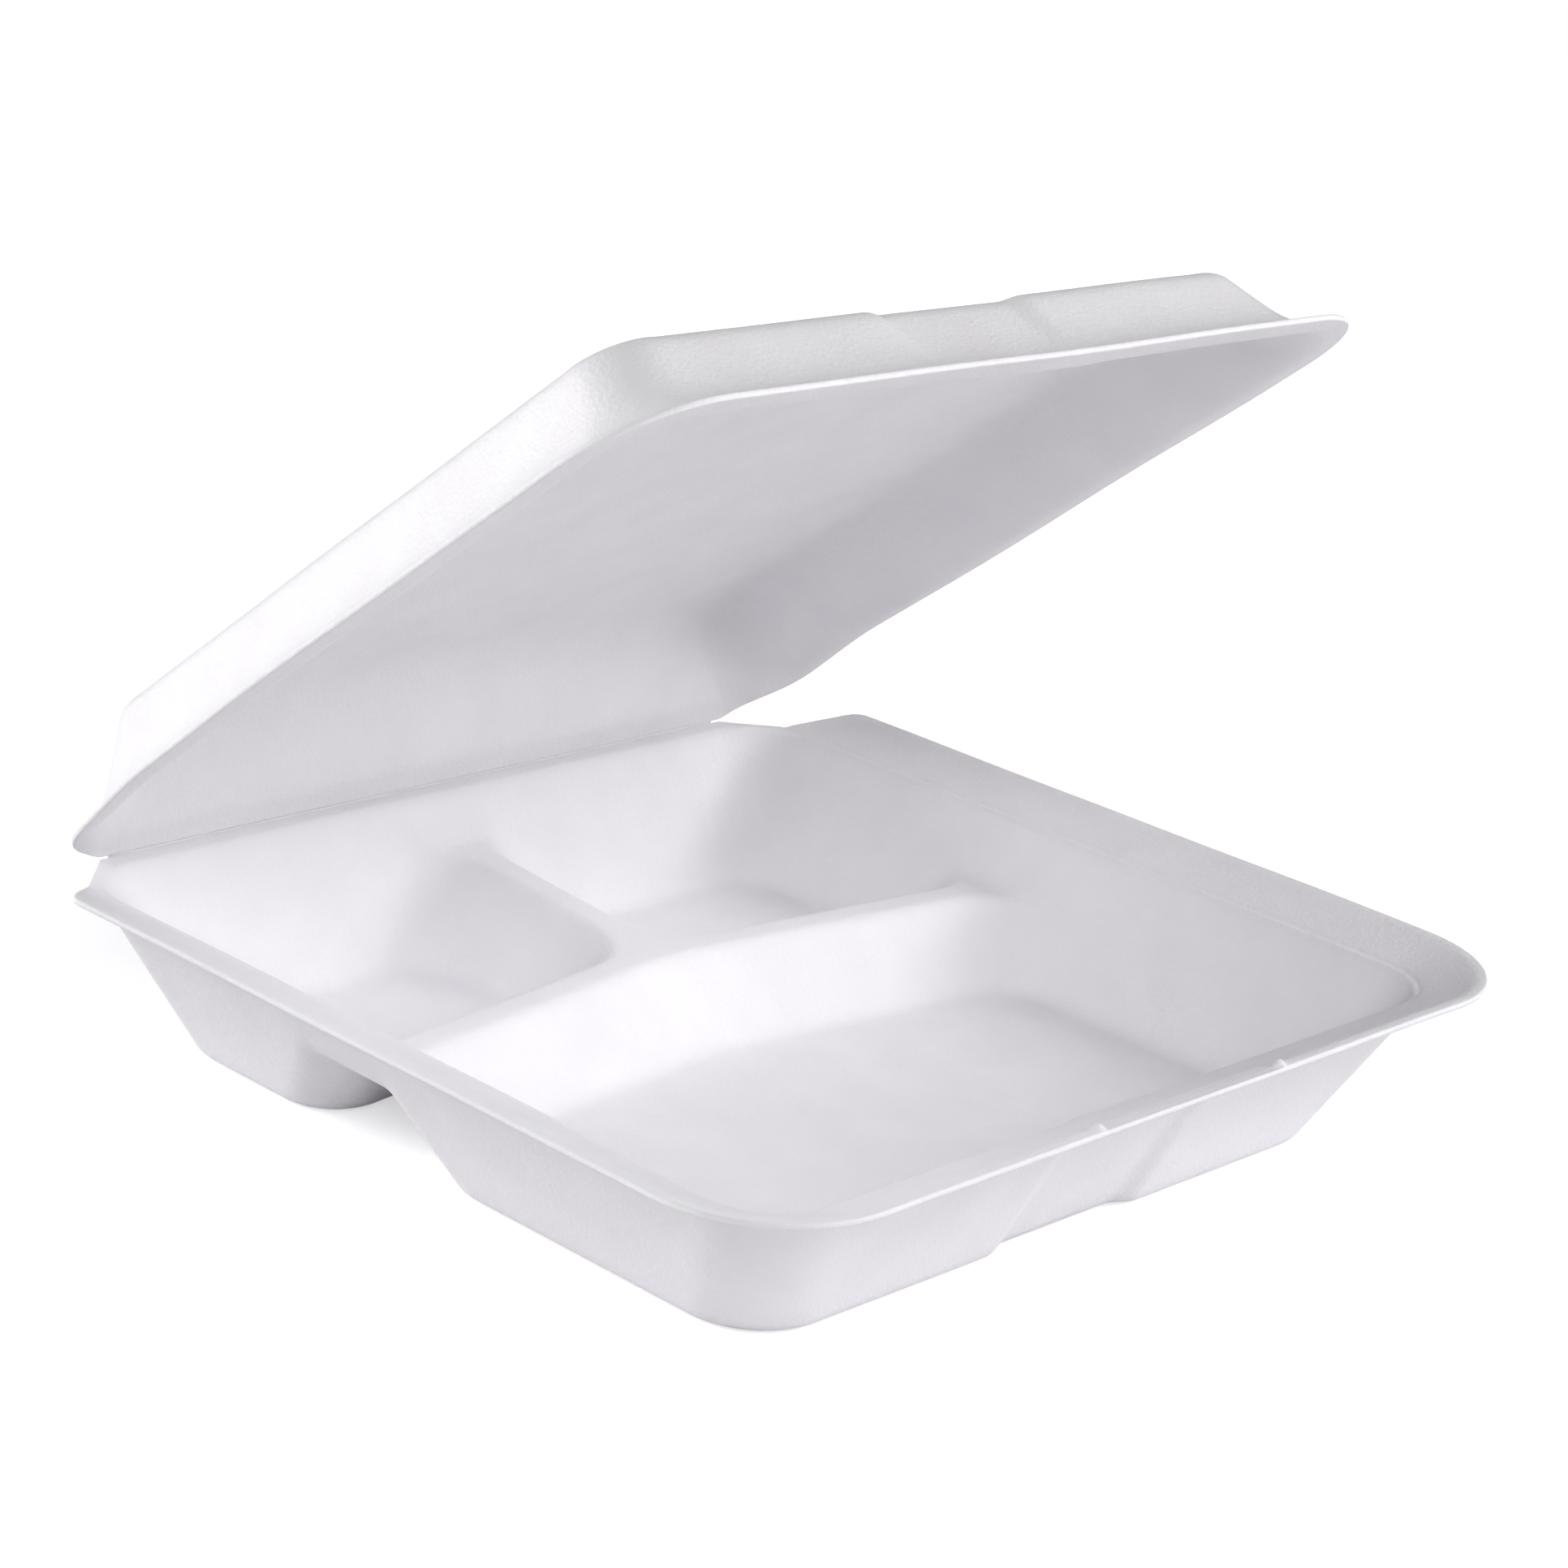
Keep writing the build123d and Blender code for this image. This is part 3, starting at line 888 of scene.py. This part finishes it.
bump = nodes.new("ShaderNodeBump")
bump.inputs["Strength"].default_value = 0.8
bump.inputs["Distance"].default_value = cell_depth
links.new(stipple.outputs["Result"], bump.inputs["Height"])
links.new(bump.outputs["Normal"], shader.inputs["Normal"])
print("foam cells", round(cell_size / mm, 2), "mm across, grain", round(grain_size / mm, 2), "mm")

# %% [markdown]
# The colour wanders slowly between two faintly cool whites. Both are held below full white, so that the lit
# faces keep their form. The gloss follows the stipple: the skin is a little rougher where it stands up.

# %% Colour and gloss of the foam
darker_foam, lighter_foam = (0.852, 0.836, 0.866, 1), (0.886, 0.876, 0.898, 1)
mottle = nodes.new("ShaderNodeTexNoise")
mottle.inputs["Scale"].default_value = 1 / mottle_size
mottle.inputs["Detail"].default_value = 4.0
links.new(place.outputs["Object"], mottle.inputs["Vector"])

tint = nodes.new("ShaderNodeValToRGB")
tint.color_ramp.elements[0].position, tint.color_ramp.elements[1].position = 0.3, 0.7
tint.color_ramp.elements[0].color = darker_foam
tint.color_ramp.elements[1].color = lighter_foam
links.new(mottle.outputs["Fac"], tint.inputs["Fac"])
links.new(tint.outputs["Color"], shader.inputs["Base Color"])

gloss = nodes.new("ShaderNodeMapRange")
gloss.inputs["From Min"].default_value, gloss.inputs["From Max"].default_value = 0.25, 0.75
gloss.inputs["To Min"].default_value, gloss.inputs["To Max"].default_value = 0.48, 0.66
links.new(stipple.outputs["Result"], gloss.inputs["Value"])
links.new(gloss.outputs["Result"], shader.inputs["Roughness"])
shader.inputs["Specular IOR Level"].default_value = 0.35

for piece in (tray_sheet, lid_sheet, crease_strip):
    piece.data.materials.append(foam)
print("mottling", round(mottle_size / mm, 2), "mm, finish on", len(foam.node_tree.nodes), "nodes")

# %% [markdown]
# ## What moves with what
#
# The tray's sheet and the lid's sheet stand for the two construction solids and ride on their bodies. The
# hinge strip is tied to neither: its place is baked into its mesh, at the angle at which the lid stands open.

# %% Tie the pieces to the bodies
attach(tray_sheet, "tray")
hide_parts("tray")
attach(lid_sheet, "lid")
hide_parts("lid")
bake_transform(crease_strip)
print("pieces tied")

# %% [markdown]
# ## The studio
#
# The photograph shows the container on pure white. A pale floor carries its shadow, and the floor and the
# world look white to the camera, while what they throw on the foam stays at a plain level. Near the
# container the floor's own glow is weaker, so that the shadow still shows there. Further out it grows to
# full white, so the floor's edge can't be seen.

# %% Floor
floor_mesh = bpy.data.meshes.new("floor")
floor_half = 1.6
near_floor, far_floor = 0.22, 0.6
near_glow, far_glow = 0.5, 1.0
floor_mesh.from_pydata(
    [(-floor_half, -floor_half, 0), (floor_half, -floor_half, 0),
     (floor_half, floor_half, 0), (-floor_half, floor_half, 0)], [], [(0, 1, 2, 3)]
)
floor = bpy.data.objects.new("floor", floor_mesh)
bpy.context.scene.collection.objects.link(floor)
floor_drop = 0.0004
floor.location.z = -floor_drop
floor_paint, nodes, links = new_material("floor_paint")
output = nodes.new("ShaderNodeOutputMaterial")
matt = nodes.new("ShaderNodeBsdfDiffuse")
matt.inputs["Color"].default_value = (0.89, 0.88, 0.9, 1)
glow = nodes.new("ShaderNodeEmission")
rays = nodes.new("ShaderNodeLightPath")
floor_place = nodes.new("ShaderNodeTexCoord")
away = nodes.new("ShaderNodeVectorMath")
away.operation = "LENGTH"
strength = nodes.new("ShaderNodeMapRange")
strength.inputs["From Min"].default_value, strength.inputs["From Max"].default_value = near_floor, far_floor
strength.inputs["To Min"].default_value, strength.inputs["To Max"].default_value = near_glow, far_glow
seen = nodes.new("ShaderNodeMath")
seen.operation = "MULTIPLY"
add = nodes.new("ShaderNodeAddShader")
links.new(floor_place.outputs["Object"], away.inputs[0])
links.new(away.outputs["Value"], strength.inputs["Value"])
links.new(rays.outputs["Is Camera Ray"], seen.inputs[0])
links.new(strength.outputs["Result"], seen.inputs[1])
links.new(seen.outputs["Value"], glow.inputs["Strength"])
links.new(matt.outputs["BSDF"], add.inputs[0])
links.new(glow.outputs["Emission"], add.inputs[1])
links.new(add.outputs["Shader"], output.inputs["Surface"])
floor_mesh.materials.append(floor_paint)
floor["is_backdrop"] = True
print("floor", 2 * floor_half, "m wide, its glow grows from", near_glow, "to", far_glow)

# %% [markdown]
# The world gives the foam a faint cool fill from all round. Only the camera sees it as white.

# %% World
fill_strength = 0.04
world = bpy.data.worlds.new("studio")
bpy.context.scene.world = world
world.use_nodes = True
nodes, links = world.node_tree.nodes, world.node_tree.links
nodes.clear()
output = nodes.new("ShaderNodeOutputWorld")
fill = nodes.new("ShaderNodeBackground")
fill.inputs["Color"].default_value = (0.95, 0.96, 1.0, 1)
fill.inputs["Strength"].default_value = fill_strength
white = nodes.new("ShaderNodeBackground")
white.inputs["Color"].default_value = (1, 1, 1, 1)
rays = nodes.new("ShaderNodeLightPath")
mix = nodes.new("ShaderNodeMixShader")
links.new(rays.outputs["Is Camera Ray"], mix.inputs["Fac"])
links.new(fill.outputs["Background"], mix.inputs[1])
links.new(white.outputs["Background"], mix.inputs[2])
links.new(mix.outputs["Shader"], output.inputs["Surface"])
print("world fill", fill_strength)

# %% [markdown]
# White foam shows its form only by small steps of grey, so the lamps matter more than the colour. The bright
# places in the photograph are the lid's left wall and the faces that look towards the front, and the dark
# ones are the rounded outer corners. Two raised soft boxes, a low one in front and a low one behind give
# that, and none of them is strong enough to burn out a face that looks straight at it.

# %% Lamps
lamp_distance, lamp_size, lamp_lift = 1.8, 0.9, 0.05
lamp_aim = Vector((0, 0, 0.07))


def soft_lamp(name, round_from_front, raised, power):
    """A square soft box of so many watts, placed about the container by two angles in degrees."""
    turn, rise = radians(round_from_front), radians(raised)
    level_reach = lamp_distance * cos(rise)
    height = lamp_distance * sin(rise) + lamp_lift
    place = Vector((level_reach * sin(turn), -level_reach * cos(turn), height))
    light = bpy.data.lights.new(name, "AREA")
    light.shape = "SQUARE"
    light.size = lamp_size
    light.energy = power
    lamp = bpy.data.objects.new(name, light)
    bpy.context.scene.collection.objects.link(lamp)
    lamp.location = place
    lamp.rotation_mode = "QUATERNION"
    lamp.rotation_quaternion = (lamp_aim - place).to_track_quat("-Z", "Y")
    lamp.visible_camera = False
    print(name, "at", [round(v, 2) for v in place], power, "watts")


soft_lamp("front_right_box", 50, 35, 15)
soft_lamp("front_left_box", 310, 35, 14.2)
soft_lamp("low_front_box", 40, 10, 12)
soft_lamp("rear_left_box", 210, 10, 27)

# %% [markdown]
# ## The camera
#
# The camera's place was found by fitting straight edges of the container in the photograph. It looks down by
# about nineteen degrees over the left front corner, with a long lens and a slight roll, and its picture is
# square.

# %% Camera
eye = Vector((-562.0, -507.1, 322.8)) * mm
azimuth, elevation, roll = radians(-47.75), radians(18.70), radians(5.76)
back = Vector((sin(azimuth) * cos(elevation), -cos(azimuth) * cos(elevation), sin(elevation)))
right = Vector((cos(azimuth), sin(azimuth), 0))
up = back.cross(right)
rolled_right = right * cos(roll) + up * sin(roll)
rolled_up = up * cos(roll) - right * sin(roll)
camera_data = bpy.data.cameras.new("camera")
camera_data.lens = 91.45
camera_data.sensor_width = 36.0
camera = bpy.data.objects.new("camera", camera_data)
bpy.context.scene.collection.objects.link(camera)
turn = Matrix((rolled_right, rolled_up, back)).transposed().to_4x4()
camera.matrix_world = Matrix.Translation(eye) @ turn
bpy.context.scene.camera = camera
bpy.context.scene.view_settings.view_transform = "Standard"
print("camera at", [round(v, 3) for v in eye], "lens", round(camera_data.lens, 2), "mm")

# %% [markdown]
# ## Sizes and finish
#
# The size of the finished sheets is printed beside that of the construction model, so that the two can be
# compared.

# %% Write the sizes and finish
looks_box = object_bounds()
sizes = {
    "cad": [list(corner) for corner in cad_box],
    "looks": [list(corner) for corner in looks_box],
}
for name, corners in sizes.items():
    print(name, [[round(value, 4) for value in corner] for corner in corners])
